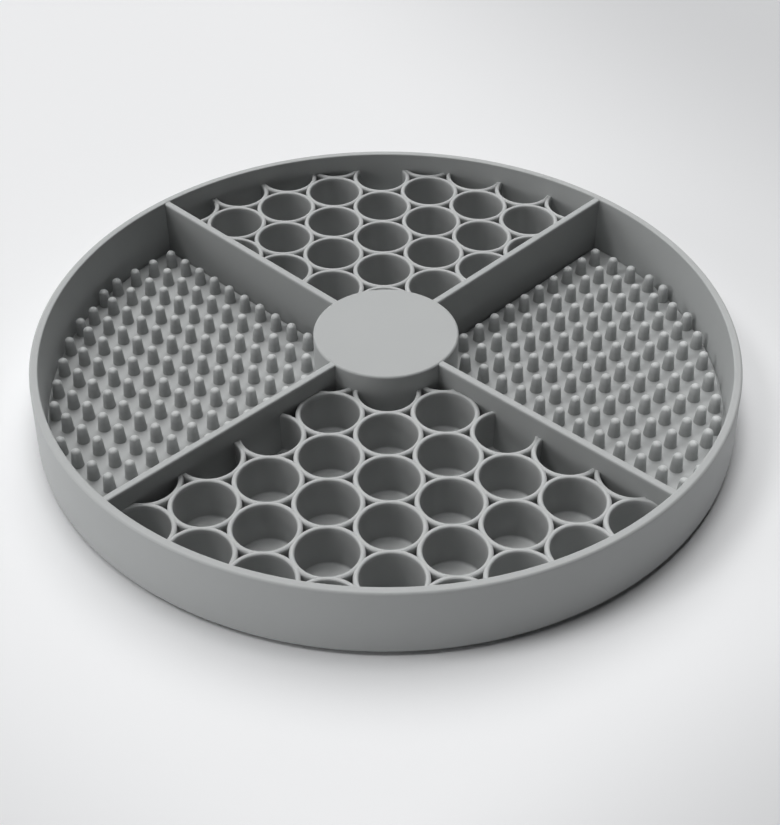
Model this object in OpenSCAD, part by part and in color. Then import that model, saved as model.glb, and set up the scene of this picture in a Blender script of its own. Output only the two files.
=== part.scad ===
// Round lick mat, moulded in one piece from soft grey silicone.
// A rim and a floor hold a hub and four dividers. The front and rear sectors
// hold round cells for soft food, and the left and right sectors hold nubs.
// Origin: centre of the underside, on the surface that the mat stands on. +Z up, front at -Y.

/* [Rim and floor] */
// Diameter over the top of the rim
mat_d = 200; // [170:1:240]
// Height of the wall, from its lower edge to the top of the rim
wall_h = 20; // [17:0.5:26]
// How far the outside of the wall flares out, on each side, down to its lower edge
wall_flare = 0.8; // [0:0.1:2]
// Thickness of the wall at the top of the rim
rim_t = 2.4; // [2:0.1:4]
// Radius of the rim's outer top edge
rim_edge_r = 0.8; // [0.3:0.1:1.2]
// Radius of the rim's inner top edge
rim_inner_edge_r = 0.4; // [0.2:0.1:0.6]
// Radius of the wall's lower outer edge
wall_foot_r = 0.6; // [0.2:0.1:1.2]
// Thickness of the floor
floor_t = 1.2; // [0.8:0.1:2.5]

/* [Hub and dividers] */
// Diameter of the hub
hub_d = 41.5; // [32:0.5:52]
// How far the top of the hub lies below the top of the rim
hub_drop = 0; // [0:0.5:4]
// Radius of the hub's top edge
hub_edge_r = 0.7; // [0.2:0.1:2]
// Thickness of a divider
divider_t = 2.2; // [1.6:0.1:4]
// How far the tops of the dividers lie below the top of the rim
divider_drop = 0.2; // [0:0.1:4]
// Radius of a divider's top edges
divider_edge_r = 0.5; // [0.1:0.1:0.7]
// Angle from the rear centre line to each rear divider
rear_half_angle = 45; // [40:0.5:50]
// Angle from the front centre line to each front divider
front_half_angle = 46.8; // [40:0.1:50]

/* [Round cells] */
// Bore of a cell
cell_d = 16.2; // [13:0.1:17]
// Thickness of a cell's wall where it stands free
cell_wall = 1.4; // [1:0.1:1.8]
// Height of the cell walls above the floor
cell_h = 12.8; // [8:0.2:15]
// How far a column of cells nests between the cells of the next column
cell_column_nest = 0.5; // [0:0.1:1]
// Wall left between two neighbours of a front column
front_cell_web = 1.2; // [1:0.1:2.6]
// Wall left between two neighbours of a rear column
rear_cell_web = 1.8; // [1:0.1:2.6]
// Distance from the centre to the first whole cell of the front middle column
front_cell_start = 36.9; // [35:0.1:42]
// Distance from the centre to the second cell of the rear middle column
rear_cell_start = 57.3; // [54:0.1:62]

/* [Nubs] */
// Thickness of the pads that the nubs stand on
pad_t = 0.9; // [0.4:0.1:2]
// Gap between a pad and the walls round it
pad_gap = 0.5; // [0.3:0.1:1.5]
// Height of a nub above its pad
nub_h = 5.5; // [4:0.1:9]
// Diameter of a nub at its foot
nub_foot_d = 3.7; // [3:0.1:4.4]
// Diameter of a nub's round tip
nub_tip_d = 2.8; // [1.8:0.1:3]
// Distance between nubs along a row
nub_pitch = 7; // [6.2:0.1:10]
// The same for left nubs, along rows that run from the front left to the rear right
left_nub_pitch = 7.2; // [6.2:0.1:10]
// Angle of the rows of nubs to the line across the mat
nub_row_angle = 44.3; // [40:0.1:50]
// Least distance from a nub's centre line to the hub or a divider
nub_wall_gap = 2.4; // [2.4:0.1:4]
// Least distance from a nub's centre line to the rim
nub_rim_gap = 2.5; // [2.5:0.1:4]
// A left nub that would stand up to this much nearer to the rim is moved inwards instead
left_nub_pull = 2.3; // [0:0.1:2.5]
// The same for a right nub
right_nub_pull = 1.8; // [0:0.1:2.5]
// A nub of the left sector: its distance left of the centre, and behind it
left_nub_x = 53.8; // [45:0.1:60]
left_nub_y = 5; // [0:0.1:8]
// A nub of the right sector: its distance right of the centre, and behind it
right_nub_x = 53.5; // [45:0.1:60]
right_nub_y = 4.5; // [0:0.1:8]

/* [Feet] */
// Height of the foot rings under the floor
foot_h = 1.2; // [0.6:0.1:3]
// Width of a foot ring
foot_w = 4; // [2:0.5:8]
// How far the outer foot ring is set in from the rim
foot_inset = 5; // [3:0.5:12]
// Outer diameter of the centre foot ring
centre_foot_d = 36; // [24:1:50]

/* [Hidden] */
$fn = 96;

silicone = [0.50, 0.51, 0.51];
pale_silicone = [0.56, 0.57, 0.57];

// Radii, from the centre outwards
hub_r = hub_d / 2;
rim_r = mat_d / 2;
inner_r = rim_r - rim_t;
base_r = rim_r + wall_flare;
cell_r = cell_d / 2;
cell_outer_r = cell_r + cell_wall;

// Distances between columns of cells, and between the cells of a column
cell_column_pitch = cell_d - cell_column_nest;
front_cell_pitch = cell_d + front_cell_web;
rear_cell_pitch = cell_d + rear_cell_web;

// Heights, from the surface upwards
floor_top = foot_h + floor_t;
rim_top = foot_h + wall_h;
hub_top = rim_top - hub_drop;
divider_top = rim_top - divider_drop;
cell_top = floor_top + cell_h;
pad_top = floor_top + pad_t;

// Directions of the dividers, counted anticlockwise from +X
rear_right_angle = 90 - rear_half_angle;
rear_left_angle = 90 + rear_half_angle;
front_left_angle = 270 - front_half_angle;
front_right_angle = 270 + front_half_angle;

// A cell is drawn where its centre lies no further than this outside the walls of its sector
cell_reach = 0.85 * cell_r;
// Nubs stand no further out than this
nub_reach = inner_r - nub_rim_gap;

// Distance of a point from the face of the divider at an angle, to its left (side 1) or right (-1)
function face_distance(p, angle, side) =
    side * (p[1] * cos(angle) - p[0] * sin(angle)) - divider_t / 2;

// True where a point lies in the sector from angle a to angle b, at least margin inside its walls
function in_sector(p, a, b, margin) =
    face_distance(p, a, 1) > margin
    && face_distance(p, b, -1) > margin
    && norm(p) > hub_r + margin
    && norm(p) < inner_r - margin;

// The centres of the cells of a grid: side is 1 at the rear and -1 at the front
function cell_centres(side, start, pitch, a, b) = [
    for (column = [-8 : 8], row = [-4 : 7])
        let (
            half_step = column % 2 == 0 ? 0 : pitch / 2,
            p = [column * cell_column_pitch, side * (start + row * pitch - half_step)]
        )
        if (in_sector(p, a, b, -cell_reach)) p
];

// A point up to pull beyond the reach of the nubs, moved inwards to it
function pulled_in(p, pull) =
    norm(p) > nub_reach && norm(p) < nub_reach + pull ? p * nub_reach / norm(p) : p;

// The centres of the nubs of a sector, on two sets of rows that cross at the nub at start
function nub_centres(start, pitch, pull, a, b) = [
    for (i = [-16 : 16], j = [-16 : 16])
        let (
            right = (i * pitch + j * nub_pitch) * cos(nub_row_angle),
            back = (i * pitch - j * nub_pitch) * sin(nub_row_angle),
            p = pulled_in([start[0] + right, start[1] + back], pull)
        )
        if (in_sector(p, a, b, nub_wall_gap)) p
];

// The plan of the sector between the dividers at angles a and b, with a gap to every wall
module sector_plan(a, b, gap) {
    middle = (a + b) / 2;
    half = (b - a) / 2;
    apex = (divider_t / 2 + gap) / sin(half);
    reach = 2 * rim_r;
    intersection() {
        difference() {
            circle(r = inner_r - gap);
            circle(r = hub_r + gap);
        }
        rotate(middle)
            translate([apex, 0])
                polygon([[0, 0], [reach * cos(half), -reach * sin(half)], [reach * cos(half), reach * sin(half)]]);
    }
}

// What a corner rounded to radius r loses: the corner is at the origin, and the body lies at -x and -y
module corner_waste(r) {
    difference() {
        translate([-r, -r])
            square(r + 1);
        translate([-r, -r])
            circle(r = r);
    }
}

// A ring of rectangular section
module ring(outer, width, height) {
    difference() {
        cylinder(r = outer, h = height);
        translate([0, 0, -1])
            cylinder(r = outer - width, h = height + 2);
    }
}

module floor_disc() {
    color(silicone)
        translate([0, 0, foot_h])
            cylinder(r = inner_r, h = floor_t);
}

module rim_wall() {
    color(silicone)
        rotate_extrude()
            difference() {
                polygon([[inner_r, foot_h], [base_r, foot_h], [rim_r, rim_top], [inner_r, rim_top]]);
                translate([rim_r, rim_top])
                    corner_waste(rim_edge_r);
                translate([inner_r, rim_top])
                    mirror([1, 0])
                        corner_waste(rim_inner_edge_r);
                translate([base_r, foot_h])
                    mirror([0, 1])
                        corner_waste(wall_foot_r);
            }
}

module centre_hub() {
    color(pale_silicone)
        rotate_extrude()
            difference() {
                translate([0, floor_top])
                    square([hub_r, hub_top - floor_top]);
                translate([hub_r, hub_top])
                    corner_waste(hub_edge_r);
            }
}

// A divider from the hub to the rim, along the direction at an angle
module divider(angle) {
    color(silicone)
        rotate(angle)
            intersection() {
                rotate([90, 0, 90])
                    linear_extrude(height = rim_r)
                        difference() {
                            translate([-divider_t / 2, floor_top])
                                square([divider_t, divider_top - floor_top]);
                            translate([divider_t / 2, divider_top])
                                corner_waste(divider_edge_r);
                            translate([-divider_t / 2, divider_top])
                                mirror([1, 0])
                                    corner_waste(divider_edge_r);
                        }
                translate([0, 0, floor_top])
                    ring(inner_r, inner_r - hub_r, wall_h);
            }
}

// Cell walls that run together, cut off where they meet the walls of their sector
module cell_grid(side, start, pitch, a, b) {
    centres = cell_centres(side, start, pitch, a, b);
    color(pale_silicone)
        translate([0, 0, floor_top])
            linear_extrude(height = cell_h)
                intersection() {
                    sector_plan(a, b, 0);
                    difference() {
                        for (p = centres)
                            translate(p)
                                circle(r = cell_outer_r);
                        for (p = centres)
                            translate(p)
                                circle(r = cell_r);
                    }
                }
}

module nub_pad(a, b) {
    color(silicone)
        translate([0, 0, floor_top])
            linear_extrude(height = pad_t)
                sector_plan(a, b, pad_gap);
}

// A tapered nub with a round tip
module nub() {
    tip_r = nub_tip_d / 2;
    cylinder(r1 = nub_foot_d / 2, r2 = tip_r, h = nub_h - tip_r);
    translate([0, 0, nub_h - tip_r])
        sphere(r = tip_r);
}

module nubs(start, pitch, pull, a, b) {
    color(pale_silicone)
        for (p = nub_centres(start, pitch, pull, a, b))
            translate([p[0], p[1], pad_top])
                nub();
}

module divider_front_left() { divider(front_left_angle); }
module divider_front_right() { divider(front_right_angle); }
module divider_rear_left() { divider(rear_left_angle); }
module divider_rear_right() { divider(rear_right_angle); }
module cell_grid_front() {
    cell_grid(-1, front_cell_start, front_cell_pitch, front_left_angle, front_right_angle);
}
module cell_grid_rear() {
    cell_grid(1, rear_cell_start, rear_cell_pitch, rear_right_angle, rear_left_angle);
}
module nub_pad_left() { nub_pad(rear_left_angle, front_left_angle); }
module nub_pad_right() { nub_pad(front_right_angle - 360, rear_right_angle); }
module nubs_left() {
    start = [-left_nub_x, left_nub_y];
    nubs(start, left_nub_pitch, left_nub_pull, rear_left_angle, front_left_angle);
}
module nubs_right() {
    start = [right_nub_x, right_nub_y];
    nubs(start, nub_pitch, right_nub_pull, front_right_angle - 360, rear_right_angle);
}
module foot_ring() { color(silicone) ring(rim_r - foot_inset, foot_w, foot_h); }
module centre_foot() { color(silicone) ring(centre_foot_d / 2, foot_w, foot_h); }

floor_disc();
rim_wall();
centre_hub();
divider_front_left();
divider_front_right();
divider_rear_left();
divider_rear_right();
cell_grid_front();
cell_grid_rear();
nub_pad_left();
nub_pad_right();
nubs_left();
nubs_right();
foot_ring();
centre_foot();
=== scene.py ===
# %% [markdown]
# A round lick mat of matt grey silicone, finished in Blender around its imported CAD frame.
# The mat is one moulding. A rim and a floor hold a hub and four dividers, the front and
# rear sectors hold round cells for soft food, and the left and right sectors hold nubs.
# Each step of this file makes one moulded feature or one finish, and says why it is made
# that way. All lengths are in metres, as in the frame.

# %% Load the frame
import math

import bmesh
import bpy
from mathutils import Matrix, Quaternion, Vector


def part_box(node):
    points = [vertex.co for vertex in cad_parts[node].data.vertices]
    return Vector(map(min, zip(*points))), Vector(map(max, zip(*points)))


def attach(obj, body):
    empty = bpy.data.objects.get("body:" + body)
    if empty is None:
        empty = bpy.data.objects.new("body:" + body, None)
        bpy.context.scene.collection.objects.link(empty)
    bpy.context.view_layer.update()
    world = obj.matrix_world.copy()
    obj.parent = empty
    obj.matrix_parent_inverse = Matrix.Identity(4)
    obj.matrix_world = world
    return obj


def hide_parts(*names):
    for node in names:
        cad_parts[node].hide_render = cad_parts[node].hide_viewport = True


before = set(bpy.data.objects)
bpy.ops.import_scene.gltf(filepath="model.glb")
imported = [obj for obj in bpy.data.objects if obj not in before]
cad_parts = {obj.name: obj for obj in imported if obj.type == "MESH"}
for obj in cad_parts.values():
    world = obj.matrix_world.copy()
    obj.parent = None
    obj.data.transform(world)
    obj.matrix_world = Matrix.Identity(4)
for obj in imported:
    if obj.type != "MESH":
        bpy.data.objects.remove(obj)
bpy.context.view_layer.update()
scene = bpy.context.scene
print("nodes in the frame:", len(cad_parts))

# %% [markdown]
# The frame gives the sizes, so the looks follow the CAD when it changes. A node's box holds
# its lowest and highest corner, which is enough for everything round. What a box can't
# say, such as a wall's thickness or the pitch of a pattern, is a named value here, the
# same as in the CAD source.

# %% Sizes of the mat
MM = 0.001

rim_low, rim_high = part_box("rim_wall")
floor_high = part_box("floor_disc")[1]
hub_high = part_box("centre_hub")[1]
foot_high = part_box("foot_ring")[1]
centre_foot_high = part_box("centre_foot")[1]
divider_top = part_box("divider_rear_left")[1].z
cell_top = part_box("cell_grid_front")[1].z
pad_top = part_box("nub_pad_left")[1].z
nub_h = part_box("nubs_left")[1].z - pad_top

RIM_T = 2.4 * MM
WALL_FLARE = 0.8 * MM
inner_r = floor_high.x
rim_r = inner_r + RIM_T
base_r = rim_r + WALL_FLARE
hub_r = hub_high.x
floor_top = floor_high.z
wall_low = rim_low.z
rim_top = rim_high.z

DIVIDER_T = 2.2 * MM
REAR_HALF_ANGLE = math.radians(45)
FRONT_HALF_ANGLE = math.radians(46.8)
QUARTER = math.radians(90)
FULL_TURN = math.radians(360)

rear_right_angle = QUARTER - REAR_HALF_ANGLE
rear_left_angle = QUARTER + REAR_HALF_ANGLE
front_left_angle = 3 * QUARTER - FRONT_HALF_ANGLE
front_right_angle = 3 * QUARTER + FRONT_HALF_ANGLE

print(f"radii: rim {rim_r:.4f}, inside {inner_r:.4f}, hub {hub_r:.4f}")
print(f"heights: floor {floor_top:.4f}, cells {cell_top:.4f}, rim {rim_top:.4f}")

# %% [markdown]
# The camera comes first, because every later choice is judged through it. The photograph
# looks down at about 41 degrees through a short telephoto lens. The position was fitted to
# the rim, the hub and the cells, and it is written here as a photographer would note it:
# a target, a direction, a distance, and a very small roll.

# %% Camera
CAMERA_TARGET = Vector((0.945, -12.252, 1.2)) * MM
CAMERA_DISTANCE = 412.15 * MM
CAMERA_ELEVATION = math.radians(40.768)
CAMERA_TURN = math.radians(-1.141)
CAMERA_ROLL = math.radians(0.14)
CAMERA_LENS = 62.55

lens = bpy.data.cameras.new("camera")
lens.lens = CAMERA_LENS
lens.clip_start = 0.01
camera = bpy.data.objects.new("camera", lens)
scene.collection.objects.link(camera)
scene.camera = camera

back = Vector((
    math.sin(CAMERA_TURN) * math.cos(CAMERA_ELEVATION),
    -math.cos(CAMERA_TURN) * math.cos(CAMERA_ELEVATION),
    math.sin(CAMERA_ELEVATION),
))
camera.location = CAMERA_TARGET + back * CAMERA_DISTANCE
camera.rotation_mode = "QUATERNION"
roll = Quaternion((0, 0, 1), CAMERA_ROLL)
camera.rotation_quaternion = (-back).to_track_quat("-Z", "Y") @ roll
print("camera at", [round(v, 4) for v in camera.location])

# %% [markdown]
# Shader trees and geometry trees are both nodes with linked sockets, so one small helper
# serves both. It adds a node, sets its options, and fills each input with either a number
# or a link, which keeps every tree short to read. Three more are built on it, for the
# nodes that come up most: a sum, a measure of a vector, and a blend of two colours.

# %% Helpers for nodes
# A Mix node holds sockets for numbers, vectors and colours. These are the ones for colours.
MIX_FIRST = 6
MIX_SECOND = 7
MIX_RESULT = 2


def add_node(tree, kind, inputs=None, **options):
    """Adds a node to a tree and fills its inputs with plain values or with linked sockets."""
    made = tree.nodes.new(kind)
    for option, value in options.items():
        setattr(made, option, value)
    for key, value in (inputs or {}).items():
        if isinstance(value, bpy.types.NodeSocket):
            tree.links.new(value, made.inputs[key])
        else:
            made.inputs[key].default_value = value
    return made


def calculate(tree, operation, *values):
    """One Math node: the socket that holds the result."""
    inputs = dict(enumerate(values))
    return add_node(tree, "ShaderNodeMath", inputs, operation=operation).outputs[0]


def measure(tree, operation, *vectors):
    """One Vector Math node whose result is a number: the socket that holds it."""
    inputs = dict(enumerate(vectors))
    return add_node(tree, "ShaderNodeVectorMath", inputs, operation=operation).outputs["Value"]


def blend(tree, factor, first, second):
    """A Mix node between two colours: the socket that holds the result."""
    mixed = add_node(tree, "ShaderNodeMix", data_type="RGBA")
    tree.links.new(factor, mixed.inputs["Factor"])
    mixed.inputs[MIX_FIRST].default_value = first
    mixed.inputs[MIX_SECOND].default_value = second
    return mixed.outputs[MIX_RESULT]


# %% [markdown]
# Silicone that comes out of a blasted steel mould is matt and even. Up close it has a very fine
# grain from the steel, slightly shinier and duller patches where it was handled, and a faint
# cloudiness in its grey. A flat colour would look like a render, so each of the three is a noise
# pattern on Object coordinates: one for the colour, one for the roughness, and one for the grain
# as bump. Light and shade are also painted into the colour. Painted light makes the lips of the
# cells, the tips of the nubs and the thin cell floors paler than the walls. Painted shade
# darkens the walls and nubs lower down, where little light gets down between them. For both, the
# colour is scaled with the height, through a ramp of (height, share) pairs.

# %% Silicone
SILICONE_IOR = 1.41
SHEEN = 0.06
SHEEN_ROUGHNESS = 0.5
CLOUD_SCALE = 38.0
RUB_SCALE = 120.0
GRAIN_SCALE = 2600.0
GRAIN_STRENGTH = 0.12
GRAIN_DEPTH = 0.05 * MM


def painted_shading_by_height(tree, place, painted_shares):
    """Painted light and shade: a value that follows (height, share) pairs, from the lowest
    height to the highest.
    """
    low = painted_shares[0][0]
    high = painted_shares[-1][0]
    height = add_node(tree, "ShaderNodeSeparateXYZ", {0: place}).outputs[2]
    level = add_node(tree, "ShaderNodeMapRange", {
        "Value": height, "From Min": low, "From Max": high,
    })
    ramp = add_node(tree, "ShaderNodeValToRGB", {"Fac": level.outputs[0]})
    elements = ramp.color_ramp.elements
    while len(elements) < len(painted_shares):
        elements.new(0.5)
    for element, (z, share) in zip(elements, painted_shares):
        element.position = (z - low) / (high - low)
        element.color = (share, share, share, 1)
    return ramp.outputs[0]


def silicone(name, greys, roughness, painted_shares=None):
    """A matt silicone whose colour drifts between two greys that are close together. Given
    shares, it also has light and shade painted in by height.
    """
    dark, pale = greys
    material = bpy.data.materials.new(name)
    material.use_nodes = True
    tree = material.node_tree
    shader = tree.nodes["Principled BSDF"]
    shader.inputs["IOR"].default_value = SILICONE_IOR
    shader.inputs["Sheen Weight"].default_value = SHEEN
    shader.inputs["Sheen Roughness"].default_value = SHEEN_ROUGHNESS
    place = add_node(tree, "ShaderNodeTexCoord").outputs["Object"]

    cloud = add_node(tree, "ShaderNodeTexNoise", {
        "Vector": place, "Scale": CLOUD_SCALE, "Detail": 3.0,
    })
    colour = blend(tree, cloud.outputs[0], (*dark, 1), (*pale, 1))
    # Given shares, light and shade are painted into the colour by height: paler where the shares
    # are high, darker where they are low.
    if painted_shares:
        share = painted_shading_by_height(tree, place, painted_shares)
        colour = add_node(
            tree, "ShaderNodeVectorMath", {0: colour, 1: share}, operation="MULTIPLY"
        ).outputs[0]
    tree.links.new(colour, shader.inputs["Base Color"])

    rub = add_node(tree, "ShaderNodeTexNoise", {
        "Vector": place, "Scale": RUB_SCALE, "Detail": 4.0,
    })
    low, high = roughness
    spread = calculate(tree, "MULTIPLY_ADD", rub.outputs[0], high - low, low)
    tree.links.new(spread, shader.inputs["Roughness"])

    grain = add_node(tree, "ShaderNodeTexNoise", {
        "Vector": place, "Scale": GRAIN_SCALE, "Detail": 2.0,
    })
    bump = add_node(tree, "ShaderNodeBump", {
        "Height": grain.outputs[0], "Strength": GRAIN_STRENGTH, "Distance": GRAIN_DEPTH,
    })
    tree.links.new(bump.outputs[0], shader.inputs["Normal"])
    return material


# %% [markdown]
# The whole mat is one grey, but each feature has its own finish, with light and shade painted
# into its colour. The cells and nubs get painted light at their tops and painted shade lower
# down. The divider walls get painted shade at their feet. The pads are painted darker all over,
# as shade between the nubs. A finish with shares starts from paler greys, because the shares
# scale them down: the cells end at about three quarters of theirs, even at their lips. The
# heights come from the frame, so the painted light on the lips and tips stays at the top when
# the CAD changes.

# %% Finishes
# The cell and nub greys are paler than the body's, as the base for painted light. The pad greys
# are darker, as painted shade between the nubs.
BODY_GREYS = ((0.475, 0.488, 0.487), (0.505, 0.518, 0.517))
CELL_PAINTED_LIGHT_GREYS = ((0.710, 0.724, 0.723), (0.740, 0.754, 0.753))
NUB_PAINTED_LIGHT_GREYS = ((0.600, 0.613, 0.612), (0.630, 0.643, 0.642))
PAD_PAINTED_SHADE_GREYS = ((0.415, 0.426, 0.425), (0.445, 0.456, 0.455))

BODY_ROUGHNESS = (0.50, 0.64)
CELL_ROUGHNESS = (0.48, 0.60)
NUB_ROUGHNESS = (0.40, 0.52)

# Each pair is a height and the share of the grey kept there. Low shares are painted shade low
# down. High shares are painted light on the cell lips and floors and on the nub tips.
WALL_PAINTED_SHADING = [
    (floor_top, 0.68),
    (divider_top - 1.2 * MM, 0.76),
    (divider_top - 0.3 * MM, 1.0),
]
# Painted light on the cell floors and lips, and painted shade on the walls between them.
CELL_PAINTED_SHADING = [
    (floor_top, 1.0),
    (floor_top + 0.7 * MM, 0.45),
    (cell_top - 1.6 * MM, 0.53),
    (cell_top - 0.2 * MM, 0.75),
]
# Painted shade at the feet of the nubs, and painted light on their tips.
NUB_PAINTED_SHADING = [
    (pad_top, 0.6),
    (pad_top + 2.5 * MM, 0.7),
    (pad_top + 4.3 * MM, 1.0),
]

# The wall, cell, nub and pad finishes carry painted light and shade in their colour. The body
# finish carries none.
body_silicone = silicone("body silicone", BODY_GREYS, BODY_ROUGHNESS)
wall_silicone_painted_shade = silicone("wall silicone", BODY_GREYS, BODY_ROUGHNESS, WALL_PAINTED_SHADING)
cell_silicone_painted_shading = silicone("cell silicone", CELL_PAINTED_LIGHT_GREYS, CELL_ROUGHNESS, CELL_PAINTED_SHADING)
nub_silicone_painted_shading = silicone("nub silicone", NUB_PAINTED_LIGHT_GREYS, NUB_ROUGHNESS, NUB_PAINTED_SHADING)
pad_silicone_painted_shade = silicone("pad silicone", PAD_PAINTED_SHADE_GREYS, BODY_ROUGHNESS)
finishes = (body_silicone, wall_silicone_painted_shade, cell_silicone_painted_shading, nub_silicone_painted_shading, pad_silicone_painted_shade)
print("finishes:", [material.name for material in finishes])

# %% [markdown]
# Every edge of a silicone moulding is a little round, because the mould is cut with a round
# tool and a sharp edge would tear. So each outline below is given as corners with a radius,
# and this helper turns them into points. A Bevel modifier could do it too, but the radii
# differ from edge to edge, and points are easy to check against the CAD.

# %% Rounded outlines
# Two points that are nearer than this are one point
TINY = 1e-7


def rounded(corners, steps=6):
    """The outline through corners (x, y, radius), with each corner rounded to its radius."""
    points = []
    for i, (x, y, radius) in enumerate(corners):
        corner = Vector((x, y))
        if radius == 0:
            points.append(corner)
            continue
        before = (Vector(corners[i - 1][:2]) - corner).normalized()
        after = (Vector(corners[(i + 1) % len(corners)][:2]) - corner).normalized()
        half = before.angle(after) / 2
        turn = math.pi - 2 * half
        centre = corner + (before + after).normalized() * (radius / math.sin(half))
        start = corner + before * (radius / math.tan(half)) - centre
        end = corner + after * (radius / math.tan(half)) - centre
        for k in range(steps + 1):
            share = k / steps
            arm = start * math.sin((1 - share) * turn) + end * math.sin(share * turn)
            points.append(centre + arm / math.sin(turn))
    return [p for i, p in enumerate(points) if (p - points[i - 1]).length > TINY]


# %% [markdown]
# Two ways of making a solid cover the whole mat. A lathe turns a profile about the Z axis,
# as for the rim, the hub and the feet. A loft joins outlines that have as many points as
# each other, as for the dividers and the pads. Both give closed meshes, mostly of quads,
# and the normals are recalculated, so that every face points outwards.

# %% Lathe and loft
def new_piece(name, points, faces):
    """A mesh object at the origin, linked to the scene, with its faces pointing outwards."""
    mesh = bpy.data.meshes.new(name)
    mesh.from_pydata([tuple(p) for p in points], [], faces)
    shape = bmesh.new()
    shape.from_mesh(mesh)
    bmesh.ops.recalc_face_normals(shape, faces=shape.faces)
    shape.to_mesh(mesh)
    shape.free()
    piece = bpy.data.objects.new(name, mesh)
    scene.collection.objects.link(piece)
    return piece


def lathe(name, profile, segments):
    """Turns a closed profile of (radius, height) about Z. A point on the axis becomes a pole."""
    points = []
    rings = []
    for radius, height in profile:
        if radius < TINY:
            rings.append([len(points)] * segments)
            points.append((0, 0, height))
            continue
        rings.append([len(points) + k for k in range(segments)])
        for k in range(segments):
            angle = FULL_TURN * k / segments
            points.append((radius * math.cos(angle), radius * math.sin(angle), height))
    faces = []
    for near, far in zip(rings, rings[1:] + rings[:1]):
        for k in range(segments):
            n = (k + 1) % segments
            face = list(dict.fromkeys([near[k], near[n], far[n], far[k]]))
            if len(face) > 2:
                faces.append(face)
    return new_piece(name, points, faces)


def loft(name, rings):
    """Joins rings of points and closes both ends with strips from one half to the other."""
    count = len(rings[0])
    points = [p for ring in rings for p in ring]
    faces = []
    for level in range(len(rings) - 1):
        low = level * count
        high = low + count
        for k in range(count):
            n = (k + 1) % count
            faces.append((low + k, low + n, high + n, high + k))
    for end in (0, len(points) - count):
        for k in range(count // 2 - 1):
            faces.append((end + k, end + k + 1, end + count - 2 - k, end + count - 1 - k))
    return new_piece(name, points, faces)


# %% [markdown]
# A rounded edge next to a wide flat face shades badly if the normals are averaged evenly:
# the flat face seems to sag. Weighted normals let the larger face decide, so flats stay
# flat and only the narrow rounding bends the light. The result is stored in the mesh, and
# the modifier is gone before the piece joins the frame.

# %% Shading, and joining the frame
SHARP_ANGLE = math.radians(50)


def plain_mesh(piece):
    """Keeps what the piece's modifiers make as its own mesh, and removes them."""
    depsgraph = bpy.context.evaluated_depsgraph_get()
    made = bpy.data.meshes.new_from_object(
        piece.evaluated_get(depsgraph), preserve_all_data_layers=True, depsgraph=depsgraph
    )
    piece.modifiers.clear()
    piece.data = made
    made.name = piece.name


def join_frame(piece, material, slot, *nodes):
    """Shades a finished piece, gives it its finish, and puts it in place of its CAD nodes."""
    piece.data.shade_smooth()
    piece.data.set_sharp_from_angle(angle=SHARP_ANGLE)
    weighted = piece.modifiers.new("weighted normals", "WEIGHTED_NORMAL")
    weighted.keep_sharp = True
    plain_mesh(piece)
    piece.data.materials.clear()
    piece.data.materials.append(material)
    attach(piece, "root")
    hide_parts(*nodes)
    print(f"{piece.name}: {len(piece.data.vertices)} points, {len(piece.data.polygons)} faces")


# %% [markdown]
# The rim wall is a round wall with a slight flare towards its foot, so that it leaves the
# mould. Its top is nearly flat, with a soft outer edge that catches the light and a tighter
# inner edge. A lathe of one profile gives all of it, with enough segments that the outline
# stays round in a close view.

# %% Rim wall
ROUND_SEGMENTS = 256
RIM_EDGE_R = 0.8 * MM
RIM_INNER_EDGE_R = 0.4 * MM
WALL_FOOT_R = 0.6 * MM

rim_profile = rounded([
    (inner_r, wall_low, 0),
    (base_r, wall_low, WALL_FOOT_R),
    (rim_r, rim_top, RIM_EDGE_R),
    (inner_r, rim_top, RIM_INNER_EDGE_R),
])
rim = lathe("silicone_rim_wall", rim_profile, ROUND_SEGMENTS)
join_frame(rim, body_silicone, "silicone_body", "rim_wall")

# %% [markdown]
# The floor is a plain disc inside the wall. Most of it hides under the pads and the cells,
# but it shows through the small gaps between the cells and round the pads.

# %% Floor
floor_profile = [(0, wall_low), (inner_r, wall_low), (inner_r, floor_top), (0, floor_top)]
floor_disc = lathe("silicone_floor", floor_profile, ROUND_SEGMENTS)
join_frame(floor_disc, body_silicone, "silicone_body", "floor_disc")

# %% [markdown]
# The hub is a solid round boss, flush with the rim. It has a flat top and a narrow rounded
# edge, which shows as a thin bright line all the way round. Its foot sinks a little into
# the floor, as do the feet of the other features, so that no slit can show.

# %% Hub
HUB_EDGE_R = 0.7 * MM
HUB_SEGMENTS = 128
SINK = 0.3 * MM

hub_profile = rounded([
    (0, floor_top - SINK, 0),
    (hub_r, floor_top - SINK, 0),
    (hub_r, hub_high.z, HUB_EDGE_R),
    (0, hub_high.z, 0),
])
hub = lathe("silicone_hub", hub_profile, HUB_SEGMENTS)
join_frame(hub, body_silicone, "silicone_body", "centre_hub")

# %% [markdown]
# Four thin walls run from the hub to the rim, a hair lower than both. Each is one section
# with round top edges, pulled straight from inside the hub to inside the rim: its ends
# are buried there, because in the moulding they are one body.

# %% Dividers
DIVIDER_EDGE_R = 0.5 * MM
BURIED = 1.0 * MM


def add_divider(name, angle):
    """A divider along the direction at an angle."""
    half = DIVIDER_T / 2
    section = rounded([
        (half, floor_top - SINK, 0),
        (half, divider_top, DIVIDER_EDGE_R),
        (-half, divider_top, DIVIDER_EDGE_R),
        (-half, floor_top - SINK, 0),
    ])
    along = Vector((math.cos(angle), math.sin(angle), 0))
    across = Vector((math.sin(angle), -math.cos(angle), 0))
    up = Vector((0, 0, 1))
    ends = (hub_r - BURIED, inner_r + BURIED)
    rings = [[along * end + across * x + up * z for x, z in section] for end in ends]
    return loft("silicone_" + name, rings)


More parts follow.
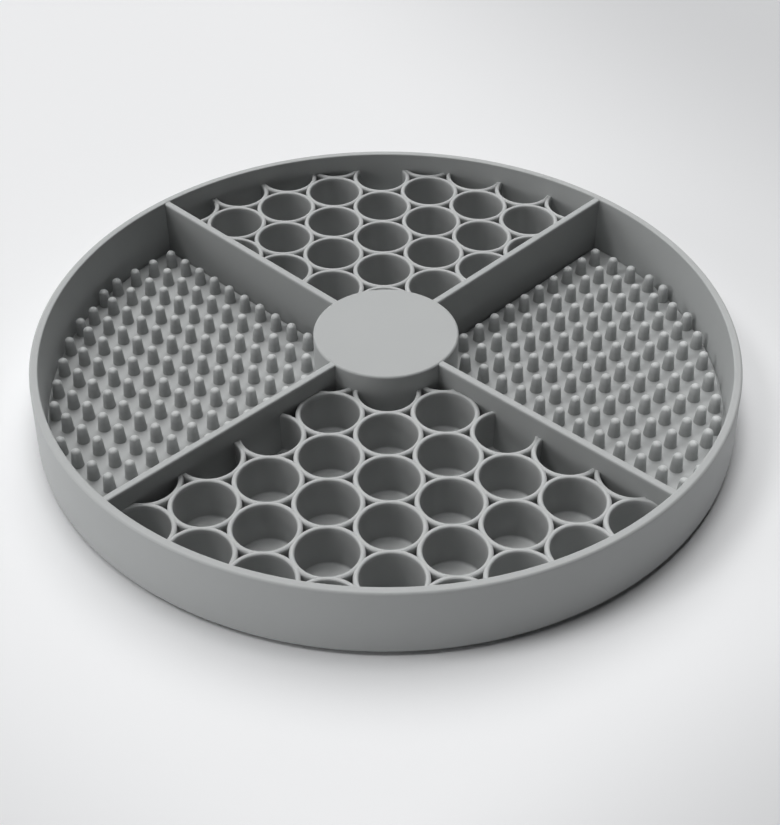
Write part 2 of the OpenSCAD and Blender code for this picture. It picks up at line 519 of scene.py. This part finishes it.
# The dividers' finish has painted shade towards their feet.
for node_name, angle in (
    ("divider_front_left", front_left_angle),
    ("divider_front_right", front_right_angle),
    ("divider_rear_left", rear_left_angle),
    ("divider_rear_right", rear_right_angle),
):
    join_frame(add_divider(node_name, angle), wall_silicone_painted_shade, "silicone_body", node_name)

# %% [markdown]
# The cells and the pads fill a sector between two dividers, the hub and the rim. Its plan
# is worked out once, with a gap to the walls that may be negative, so that a piece can end
# short of the walls or run into them. Outer and inner arc have as many points as each
# other, which is what the loft needs.

# %% Plan of a sector
ARC_STEPS = 64


def sector_plan(a, b, gap):
    """The outline of the sector from angle a to angle b, with a gap to every wall."""
    points = []
    for radius, first, last in ((inner_r - gap, a, b), (hub_r + gap, b, a)):
        lean = math.asin((DIVIDER_T / 2 + gap) / radius)
        lean = lean if last > first else -lean
        for k in range(ARC_STEPS + 1):
            angle = first + lean + (last - first - 2 * lean) * k / ARC_STEPS
            points.append((radius * math.cos(angle), radius * math.sin(angle)))
    return points


# %% [markdown]
# What repeats is made with Geometry Nodes. Both patterns of this mat, the cells and the
# nubs, are a regular lattice of points of which only those inside a sector count. The
# nearest wall decides: four distances, to both dividers, the hub and the rim, and the
# least of them has to be above a margin. The margin is negative for cells, which may be
# cut off by a wall, and positive for nubs, which stand clear of it.

# %% Node trees for patterns
def new_tree(name, inputs):
    """A geometry tree with named inputs: the tree, and a dictionary of its input sockets."""
    tree = bpy.data.node_groups.new(name, "GeometryNodeTree")
    tree.interface.new_socket("Geometry", in_out="OUTPUT", socket_type="NodeSocketGeometry")
    for label, kind in inputs.items():
        tree.interface.new_socket(label, in_out="INPUT", socket_type="NodeSocket" + kind)
    entry = tree.nodes.new("NodeGroupInput")
    return tree, {label: entry.outputs[label] for label in inputs}


def keep_inside(tree, given, points):
    """Deletes the points whose nearest wall is closer than the margin."""
    place = add_node(tree, "GeometryNodeInputPosition").outputs[0]
    distances = []
    for label in ("First wall", "Second wall"):
        reach = measure(tree, "DOT_PRODUCT", place, given[label])
        distances.append(calculate(tree, "SUBTRACT", reach, DIVIDER_T / 2))
    out = measure(tree, "LENGTH", place)
    distances.append(calculate(tree, "SUBTRACT", out, hub_r))
    distances.append(calculate(tree, "SUBTRACT", inner_r, out))
    nearest = distances[0]
    for distance in distances[1:]:
        nearest = calculate(tree, "MINIMUM", nearest, distance)
    outside = calculate(tree, "LESS_THAN", nearest, given["Margin"])
    return add_node(
        tree, "GeometryNodeDeleteGeometry",
        {"Geometry": points, "Selection": outside}, domain="POINT",
    ).outputs[0]


def shape_of(tree, template):
    """The shape of the object on a socket."""
    return add_node(tree, "GeometryNodeObjectInfo", {"Object": template}).outputs["Geometry"]


def stand(tree, points, template):
    """Instances of a template object on points."""
    return add_node(tree, "GeometryNodeInstanceOnPoints", {
        "Points": points, "Instance": shape_of(tree, template),
    }).outputs[0]


def finish_tree(tree, given, geometry):
    """Ends a tree: real meshes in place of instances, with their material."""
    real = add_node(tree, "GeometryNodeRealizeInstances", {"Geometry": geometry}).outputs[0]
    painted = add_node(tree, "GeometryNodeSetMaterial", {
        "Geometry": real, "Material": given["Finish"],
    }).outputs[0]
    add_node(tree, "NodeGroupOutput", {0: painted})


def grow(name, tree, values):
    """A new piece: what the tree makes from these values, as a plain mesh."""
    piece = new_piece(name, [(0, 0, 0)], [])
    modifier = piece.modifiers.new("pattern", "NODES")
    modifier.node_group = tree
    for item in tree.interface.items_tree:
        if item.name in values:
            modifier[item.identifier] = values[item.name]
    plain_mesh(piece)
    return piece


def walls(a, b):
    """The directions that point into a sector, square to its two dividers."""
    return {
        "First wall": (-math.sin(a), math.cos(a), 0.0),
        "Second wall": (math.sin(b), -math.cos(b), 0.0),
    }


# %% [markdown]
# A grid of cells could be drawn as tubes, but tubes that touch leave slits where the real
# walls run together. The mould was milled the other way: a block with round pits. So each
# grid starts as round posts that melt into one body, is cut to its sector, and then loses
# a pin for each bore. Posts have a rounded top edge, and pins a small round foot and a
# flare at the top, so that every wall ends in a round lip, with a faint crease where two
# lips meet. A pin stops a hair above the floor, so each cell keeps a thin floor in its own
# finish.

# %% Posts and pins for the cells
CELL_R = 8.1 * MM
CELL_WALL = 1.4 * MM
CELL_EDGE_R = 0.8 * MM
CELL_LIP_R = 0.55 * MM
CELL_FOOT_R = 0.6 * MM
CELL_SEGMENTS = 72
CELL_CORNER_STEPS = 4
POST_DEPTH = 1.0 * MM
PIN_LIFT = 0.03 * MM
PIN_RISE = 2.0 * MM

post_profile = rounded([
    (0, floor_top - POST_DEPTH, 0),
    (CELL_R + CELL_WALL, floor_top - POST_DEPTH, 0),
    (CELL_R + CELL_WALL, cell_top, CELL_EDGE_R),
    (0, cell_top, 0),
], CELL_CORNER_STEPS)
pin_profile = rounded([
    (0, floor_top + PIN_LIFT, 0),
    (CELL_R, floor_top + PIN_LIFT, CELL_FOOT_R),
    (CELL_R, cell_top, CELL_LIP_R),
    (CELL_R + CELL_LIP_R, cell_top, 0),
    (CELL_R + CELL_LIP_R, cell_top + PIN_RISE, 0),
    (0, cell_top + PIN_RISE, 0),
], CELL_CORNER_STEPS)
post = lathe("cell_post", post_profile, CELL_SEGMENTS)
pin = lathe("cell_pin", pin_profile, CELL_SEGMENTS)
print("post and pin points:", len(post.data.vertices), len(pin.data.vertices))

# %% [markdown]
# The lattice has straight columns, and each odd column is shifted by half a pitch. The tree
# makes a grid of points, shifts the odd columns, moves the lattice to its start, and turns
# it to the front or rear with a scale of -1 or 1 along Y. Points aren't faces, so that
# scale turns nothing inside out.

# %% Tree for a grid of cells
COLUMNS = 17
ROWS = 12
ROWS_BEFORE_START = 4

cell_tree, given = new_tree("cell grid", {
    "Column pitch": "Float", "Row pitch": "Float", "Start": "Float", "Side": "Float",
    "First wall": "Vector", "Second wall": "Vector", "Margin": "Float",
    "Post": "Object", "Pin": "Object", "Sector": "Object", "Finish": "Material",
})
lattice = add_node(cell_tree, "GeometryNodeMeshGrid", {
    "Size X": calculate(cell_tree, "MULTIPLY", given["Column pitch"], COLUMNS - 1.0),
    "Size Y": calculate(cell_tree, "MULTIPLY", given["Row pitch"], ROWS - 1.0),
    "Vertices X": COLUMNS,
    "Vertices Y": ROWS,
}).outputs[0]
place = add_node(cell_tree, "GeometryNodeInputPosition").outputs[0]
across = add_node(cell_tree, "ShaderNodeSeparateXYZ", {0: place}).outputs[0]
column = calculate(cell_tree, "DIVIDE", across, given["Column pitch"])
column = calculate(cell_tree, "ROUND", column)
odd = calculate(cell_tree, "MODULO", calculate(cell_tree, "ABSOLUTE", column), 2.0)
rows_up = calculate(cell_tree, "MULTIPLY_ADD", odd, -0.5, (ROWS - 1) / 2 - ROWS_BEFORE_START)
shift = calculate(cell_tree, "MULTIPLY_ADD", rows_up, given["Row pitch"], given["Start"])
offset = add_node(cell_tree, "ShaderNodeCombineXYZ", {1: shift}).outputs[0]
lattice = add_node(cell_tree, "GeometryNodeSetPosition", {
    "Geometry": lattice, "Offset": offset,
}).outputs[0]
facing = add_node(cell_tree, "ShaderNodeCombineXYZ", {
    0: 1.0, 1: given["Side"], 2: 1.0,
}).outputs[0]
lattice = add_node(cell_tree, "GeometryNodeTransform", {
    "Geometry": lattice, "Scale": facing,
}).outputs[0]
centres = keep_inside(cell_tree, given, lattice)


def combine(operation, first, second=None):
    """A Mesh Boolean node. Union and intersection take everything on their second input."""
    made = add_node(cell_tree, "GeometryNodeMeshBoolean", operation=operation, solver="MANIFOLD")
    cell_tree.links.new(first, made.inputs["Mesh 1" if operation == "DIFFERENCE" else "Mesh 2"])
    if second is not None:
        cell_tree.links.new(second, made.inputs["Mesh 2"])
    return made.outputs[0]


posts = combine("UNION", stand(cell_tree, centres, given["Post"]))
cut = combine("INTERSECT", posts, shape_of(cell_tree, given["Sector"]))
bored = combine("DIFFERENCE", cut, stand(cell_tree, centres, given["Pin"]))
finish_tree(cell_tree, given, bored)
print("nodes in the cell tree:", len(cell_tree.nodes))

# %% [markdown]
# Both grids come from the one tree, each with its own start and row pitch. The block that
# cuts a grid to its sector reaches a little into the walls, so the ends of the cell walls
# are buried in them and no slit shows. The templates are deleted afterwards.

# %% Cell grids
COLUMN_PITCH = 15.7 * MM
FRONT_ROW_PITCH = 17.4 * MM
FRONT_START = 36.9 * MM
REAR_ROW_PITCH = 18.0 * MM
REAR_START = 57.3 * MM
CELL_REACH = 0.85 * CELL_R
CUT_DEPTH = 0.4 * MM
BLOCK_DEPTH = 0.8 * MM
BLOCK_RISE = 1.0 * MM


def add_cell_grid(node_name, side, start, pitch, a, b):
    """The grid of cells of one sector."""
    plan = sector_plan(a, b, -CUT_DEPTH)
    heights = (floor_top - BLOCK_DEPTH, cell_top + BLOCK_RISE)
    block = loft("sector_block", [[(x, y, z) for x, y in plan] for z in heights])
    grid = grow("silicone_" + node_name, cell_tree, {
        "Column pitch": COLUMN_PITCH, "Row pitch": pitch, "Start": start, "Side": side,
        "Margin": -CELL_REACH, "Post": post, "Pin": pin, "Sector": block,
        "Finish": cell_silicone_painted_shading, **walls(a, b),
    })
    bpy.data.objects.remove(block)
    join_frame(grid, cell_silicone_painted_shading, "silicone_cells", node_name)


add_cell_grid(
    "cell_grid_front", -1.0, FRONT_START, FRONT_ROW_PITCH, front_left_angle, front_right_angle
)
add_cell_grid(
    "cell_grid_rear", 1.0, REAR_START, REAR_ROW_PITCH, rear_right_angle, rear_left_angle
)
bpy.data.objects.remove(post)
bpy.data.objects.remove(pin)

# %% [markdown]
# The nubs stand on a thin pad that ends just short of the walls, so its edge shows as a
# thin line along the foot of each divider. Its outline is lofted through a few gaps, each
# a little wider than the last, which rounds its top edge.

# %% Pads
PAD_GAP = 0.5 * MM
PAD_EDGE_R = 0.3 * MM
PAD_EDGE_STEPS = 3


def add_pad(node_name, a, b):
    """The thin pad of one sector, with a rounded top edge."""
    levels = [(PAD_GAP, floor_top - SINK)]
    for k in range(PAD_EDGE_STEPS + 1):
        turn = QUARTER * k / PAD_EDGE_STEPS
        levels.append((
            PAD_GAP + PAD_EDGE_R * (1 - math.cos(turn)),
            pad_top - PAD_EDGE_R * (1 - math.sin(turn)),
        ))
    rings = [[(x, y, z) for x, y in sector_plan(a, b, gap)] for gap, z in levels]
    # The pad's finish is painted darker, as shade between the nubs.
    join_frame(loft("silicone_" + node_name, rings), pad_silicone_painted_shade, "silicone_nubs", node_name)


add_pad("nub_pad_left", rear_left_angle, front_left_angle)
add_pad("nub_pad_right", front_right_angle - FULL_TURN, rear_right_angle)

# %% [markdown]
# A nub is a blunt cone: it tapers upwards and ends in a wide, rather flat dome, which
# catches the light. It is repeated hundreds of times, so it has few faces, and most of
# those are in the dome, where the eye looks.

# %% A nub
NUB_FOOT_R = 1.85 * MM
NUB_FOOT_H = 0.3 * MM
NUB_FOOT_TAPER = 0.06 * MM
NUB_DOME_R = 1.42 * MM
NUB_DOME_H = 1.1 * MM
NUB_DOME_RISES = (0, 24, 47, 68)
NUB_SIDES = 14

nub_profile = [
    (0, pad_top - SINK),
    (NUB_FOOT_R, pad_top - SINK),
    (NUB_FOOT_R, pad_top),
    (NUB_FOOT_R - NUB_FOOT_TAPER, pad_top + NUB_FOOT_H),
]
for rise in NUB_DOME_RISES:
    lift = math.radians(rise)
    nub_profile.append((
        NUB_DOME_R * math.cos(lift), pad_top + nub_h - NUB_DOME_H * (1 - math.sin(lift)),
    ))
nub_profile.append((0, pad_top + nub_h))
nub = lathe("nub", nub_profile, NUB_SIDES)
print("faces of one nub:", len(nub.data.polygons))

# %% [markdown]
# The nubs stand where two sets of rows cross, one to the rear right and one to the front
# right. The tree makes a plain grid with both pitches, turns it by 45 degrees, and then
# stretches it a little across, which sets the angle of both rows. It moves the grid so that
# one point lands on the first nub. A point that would stand just too near to the rim is
# pulled inwards, as in the photograph, so that the outermost nubs follow the wall. What
# then lies inside the sector gets a nub.

# %% Tree for the nubs
NUB_ROWS = 33

nub_tree, given = new_tree("nubs", {
    "Rear pitch": "Float", "Front pitch": "Float", "Row angle": "Float", "First nub": "Vector",
    "Reach": "Float", "Pull": "Float",
    "First wall": "Vector", "Second wall": "Vector", "Margin": "Float",
    "Nub": "Object", "Finish": "Material",
})
lattice = add_node(nub_tree, "GeometryNodeMeshGrid", {
    "Size X": calculate(nub_tree, "MULTIPLY", given["Rear pitch"], NUB_ROWS - 1.0),
    "Size Y": calculate(nub_tree, "MULTIPLY", given["Front pitch"], NUB_ROWS - 1.0),
    "Vertices X": NUB_ROWS,
    "Vertices Y": NUB_ROWS,
}).outputs[0]
lattice = add_node(nub_tree, "GeometryNodeTransform", {
    "Geometry": lattice, "Rotation": (0.0, 0.0, QUARTER / 2),
}).outputs[0]
cosine = calculate(nub_tree, "COSINE", given["Row angle"])
sine = calculate(nub_tree, "SINE", given["Row angle"])
stretch = add_node(nub_tree, "ShaderNodeCombineXYZ", {
    0: calculate(nub_tree, "MULTIPLY", cosine, math.sqrt(2)),
    1: calculate(nub_tree, "MULTIPLY", sine, math.sqrt(2)),
    2: 1.0,
}).outputs[0]
lattice = add_node(nub_tree, "GeometryNodeTransform", {
    "Geometry": lattice, "Translation": given["First nub"], "Scale": stretch,
}).outputs[0]

place = add_node(nub_tree, "GeometryNodeInputPosition").outputs[0]
out = measure(nub_tree, "LENGTH", place)
beyond = calculate(nub_tree, "SUBTRACT", out, given["Reach"])
too_far = calculate(nub_tree, "GREATER_THAN", beyond, 0.0)
in_range = calculate(nub_tree, "LESS_THAN", beyond, given["Pull"])
pulled = add_node(nub_tree, "ShaderNodeVectorMath", {
    0: place, "Scale": calculate(nub_tree, "DIVIDE", given["Reach"], out),
}, operation="SCALE").outputs[0]
lattice = add_node(nub_tree, "GeometryNodeSetPosition", {
    "Geometry": lattice, "Position": pulled,
    "Selection": calculate(nub_tree, "MULTIPLY", too_far, in_range),
}).outputs[0]
places = keep_inside(nub_tree, given, lattice)
finish_tree(nub_tree, given, stand(nub_tree, places, given["Nub"]))
print("nodes in the nub tree:", len(nub_tree.nodes))

# %% [markdown]
# The two sides differ in where their first nub stands, and slightly in the pitch of the
# rows that run to the rear right. That is how they stand in the photograph: one side isn't
# the mirror of the other.

# %% Nubs
NUB_PITCH = 7.0 * MM
LEFT_NUB_PITCH = 7.2 * MM
NUB_ROW_ANGLE = math.radians(44.3)
NUB_WALL_GAP = 2.4 * MM
NUB_RIM_GAP = 2.5 * MM
FIRST_LEFT_NUB = (-53.8 * MM, 5.0 * MM, 0.0)
FIRST_RIGHT_NUB = (53.5 * MM, 4.5 * MM, 0.0)
LEFT_PULL = 2.3 * MM
RIGHT_PULL = 1.8 * MM


def add_nubs(node_name, first, rear_pitch, pull, a, b):
    """All the nubs of one sector."""
    grown = grow("silicone_" + node_name, nub_tree, {
        "Rear pitch": rear_pitch, "Front pitch": NUB_PITCH, "Row angle": NUB_ROW_ANGLE,
        "First nub": first, "Reach": inner_r - NUB_RIM_GAP, "Pull": pull,
        "Margin": NUB_WALL_GAP, "Nub": nub, "Finish": nub_silicone_painted_shading, **walls(a, b),
    })
    join_frame(grown, nub_silicone_painted_shading, "silicone_nubs", node_name)


add_nubs(
    "nubs_left", FIRST_LEFT_NUB, LEFT_NUB_PITCH, LEFT_PULL,
    rear_left_angle, front_left_angle,
)
add_nubs(
    "nubs_right", FIRST_RIGHT_NUB, NUB_PITCH, RIGHT_PULL,
    front_right_angle - FULL_TURN, rear_right_angle,
)
bpy.data.objects.remove(nub)

# %% [markdown]
# The mat stands on two low rings, one near its edge and one under the hub. They lift the
# lower edge of the wall off the table, which is why a dark line shows under it. From
# below they are the only features, so their edges are rounded as well.

# %% Foot rings
FOOT_W = 4 * MM
FOOT_EDGE_R = 0.4 * MM
FOOT_SEGMENTS = 192


def add_foot(node_name, outer):
    """A foot ring with round lower edges, buried a little in the floor."""
    profile = rounded([
        (outer, 0, FOOT_EDGE_R),
        (outer, foot_high.z + SINK, 0),
        (outer - FOOT_W, foot_high.z + SINK, 0),
        (outer - FOOT_W, 0, FOOT_EDGE_R),
    ])
    ring = lathe("silicone_" + node_name, profile, FOOT_SEGMENTS)
    join_frame(ring, body_silicone, "silicone_body", node_name)


add_foot("foot_ring", foot_high.x)
add_foot("centre_foot", centre_foot_high.x)

# %% [markdown]
# The table is a wide white sheet. It matters twice: it throws soft light back on the wall
# of the mat, and it is the background of the picture. Towards the rear right and the two
# front corners of the picture it gets darker, as in the photograph, and further out it is
# white again.
#
# Paper in a studio looks a little brighter than the light on it alone would make it. So
# for the camera, and in reflections, a faint glow is added to the same white, which lights
# nothing else. It fades out towards the mat, so that the thin gap under the wall stays
# dark and the mat's shadow stays.

# %% Table
TABLE_GLOW = 0.12
GLOW_FADE = 6 * MM
TABLE_WHITE = (0.875, 0.880, 0.890, 1)
# The painted shade: the darker colour mixed into the table towards the rear right and the front
# corners.
TABLE_SHADE = (0.640, 0.645, 0.655, 1)

# Each shade painted into the table's colour: its direction, how far along it the shade starts
# and is full, and how far out from the mat's centre it starts to fade and is gone
SHADES = [
    ((1.0, 0.5, 0.0), 0.080, 0.280, 0.300, 0.700),
    ((0.6, -0.8, 0.0), 0.115, 0.182, 0.175, 0.380),
    ((-0.6, -0.8, 0.0), 0.125, 0.220, 0.175, 0.380),
]


def ease(tree, value, start, end):
    """A smooth step: 0 up to the start, 1 from the end on."""
    return add_node(tree, "ShaderNodeMapRange", {
        "Value": value, "From Min": start, "From Max": end,
    }, interpolation_type="SMOOTHSTEP").outputs[0]


def seen_directly(tree):
    """1 for the camera and for reflections, and 0 for the light that falls on the mat."""
    path = add_node(tree, "ShaderNodeLightPath").outputs
    seen = calculate(tree, "MAXIMUM", path["Is Camera Ray"], path["Is Glossy Ray"])
    return calculate(tree, "MAXIMUM", seen, path["Is Transmission Ray"])


def table_material():
    """The white sheet, with its shade and its glow."""
    material = bpy.data.materials.new("table")
    material.use_nodes = True
    tree = material.node_tree
    tree.nodes.clear()
    place = add_node(tree, "ShaderNodeTexCoord").outputs["Object"]
    out = measure(tree, "LENGTH", place)
    clear = ease(tree, out, base_r, base_r + GLOW_FADE)

    shade = 0.0
    for direction, start, full, fading, gone in SHADES:
        reach = measure(tree, "DOT_PRODUCT", place, direction)
        near = calculate(tree, "SUBTRACT", 1.0, ease(tree, out, fading, gone))
        patch = calculate(tree, "MULTIPLY", near, ease(tree, reach, start, full))
        shade = calculate(tree, "MAXIMUM", shade, patch)
    tint = blend(tree, shade, TABLE_WHITE, TABLE_SHADE)
    sheet = add_node(tree, "ShaderNodeBsdfDiffuse", {"Color": tint})

    strength = calculate(tree, "MULTIPLY", clear, TABLE_GLOW)
    strength = calculate(tree, "MULTIPLY", strength, seen_directly(tree))
    glow = add_node(tree, "ShaderNodeEmission", {"Color": tint, "Strength": strength})
    both = add_node(tree, "ShaderNodeAddShader", {0: sheet.outputs[0], 1: glow.outputs[0]})
    add_node(tree, "ShaderNodeOutputMaterial", {"Surface": both.outputs[0]})
    return material


TABLE_SIZE = 3.0
table = new_piece("table", [
    (-TABLE_SIZE, -TABLE_SIZE, 0), (TABLE_SIZE, -TABLE_SIZE, 0),
    (TABLE_SIZE, TABLE_SIZE, 0), (-TABLE_SIZE, TABLE_SIZE, 0),
], [(0, 1, 2, 3)])
table.data.materials.append(table_material())
print("table:", TABLE_SIZE * 2, "m wide")

# %% [markdown]
# The light comes from behind and from the left, as in a room with high windows on two
# sides. Each lamp is a Sun lamp with a wide angle, which gives the soft shadows of a large
# window and lights the table evenly right to its edge, where an area lamp would leave a
# hot spot near itself and darkness behind. The widest, high at the rear, lights the tops
# and leaves the faces that look forward dark. Two at the left draw the nubs and the cells,
# bright on their left and dark on their right. Three low ones reach the outer wall: one
# brightens its left side, and two very weak ones lift its front and its right.
#
# Together they light a level surface at a little over 0.8, where at 1 its colour would
# render just as it is written. The shine of the silicone makes up for most of the rest.
# The backdrop has the tone of the lit table, so that no line shows where the table ends.

# %% Light
# Each lamp: azimuth, elevation and width in degrees, strength in watts per square metre
LAMPS = {
    "rear": (90, 60, 46, 1.72),
    "left": (180, 55, 17, 0.67),
    "high left": (180, 82, 17, 0.37),
    "low left": (190, 16, 30, 0.68),
    "low front": (225, 8, 12, 0.08),
    "low right": (5, 10, 16, 0.03),
}
BACKDROP = (0.835, 0.840, 0.850, 1)

world = bpy.data.worlds.new("room")
scene.world = world
world.use_nodes = True
tree = world.node_tree
tree.nodes.clear()
backdrop = add_node(tree, "ShaderNodeBackground", {
    "Color": BACKDROP, "Strength": seen_directly(tree),
})
add_node(tree, "ShaderNodeOutputWorld", {"Surface": backdrop.outputs[0]})


def add_lamp(name, azimuth, elevation, width, strength):
    """A soft sun that shines on the middle of the mat from a direction."""
    turn = math.radians(azimuth)
    rise = math.radians(elevation)
    place = Vector((
        math.cos(turn) * math.cos(rise), math.sin(turn) * math.cos(rise), math.sin(rise)
    ))
    light = bpy.data.lights.new(name, "SUN")
    light.energy = strength
    light.angle = math.radians(width)
    lamp = bpy.data.objects.new(name, light)
    lamp.location = place
    lamp.rotation_mode = "QUATERNION"
    lamp.rotation_quaternion = (-place).to_track_quat("-Z", "Y")
    scene.collection.objects.link(lamp)


for name, numbers in LAMPS.items():
    add_lamp(name, *numbers)

scene.view_settings.view_transform = "Standard"
print("lamps:", list(LAMPS))
